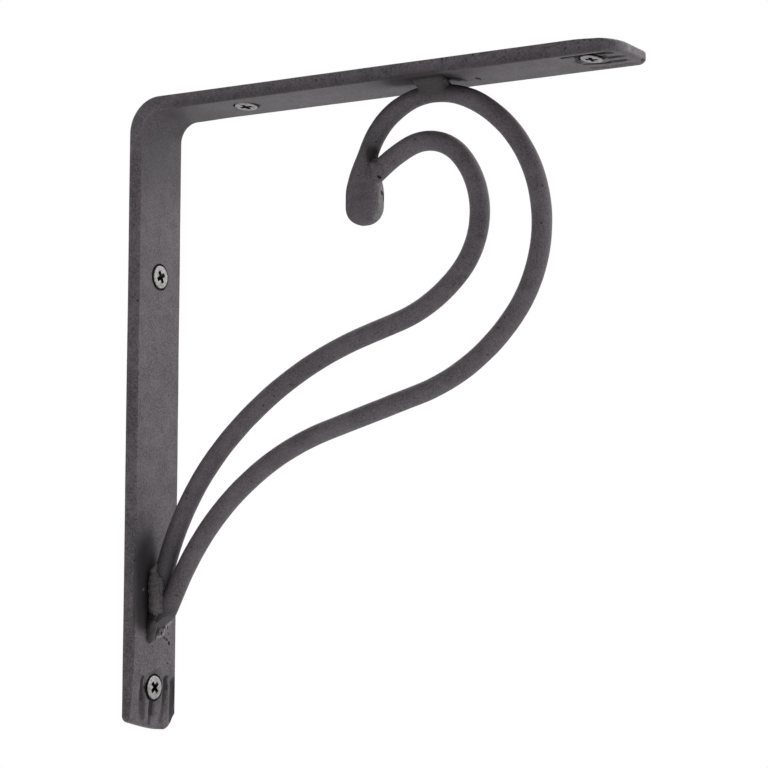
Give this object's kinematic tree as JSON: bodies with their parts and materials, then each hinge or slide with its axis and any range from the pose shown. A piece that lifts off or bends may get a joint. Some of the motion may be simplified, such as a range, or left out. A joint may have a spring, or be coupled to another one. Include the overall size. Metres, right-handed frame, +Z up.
{
  "type": "shelf bracket",
  "caption": "L-shaped wall shelf bracket of flat iron bar, braced by scrolled round rods that are welded under the arm, with countersunk screws in leg and arm.",
  "frame": {"origin": "on the wall plane at mid-width, half way between the two wall screws", "axes": "+X away from the wall along the arm, +Y across the bar, +Z up to the shelf"},
  "size_m": [0.198, 0.025, 0.23],
  "materials": {
    "iron": "dark grey matt finish over forged mild steel, finely sandy with small pits",
    "weld_iron": "the same dark matt finish over rough weld metal",
    "screw_steel": "dull zinc-plated steel"
  },
  "bodies": {
    "root": {"angle_bar": "iron", "outer_scroll_rod": "iron", "inner_scroll_rod": "iron", "crown_weld": "weld_iron", "foot_weld": "weld_iron", "curl_weld": "weld_iron", "wall_screws": "screw_steel", "shelf_screws": "screw_steel"}
  },
  "joints": []
}
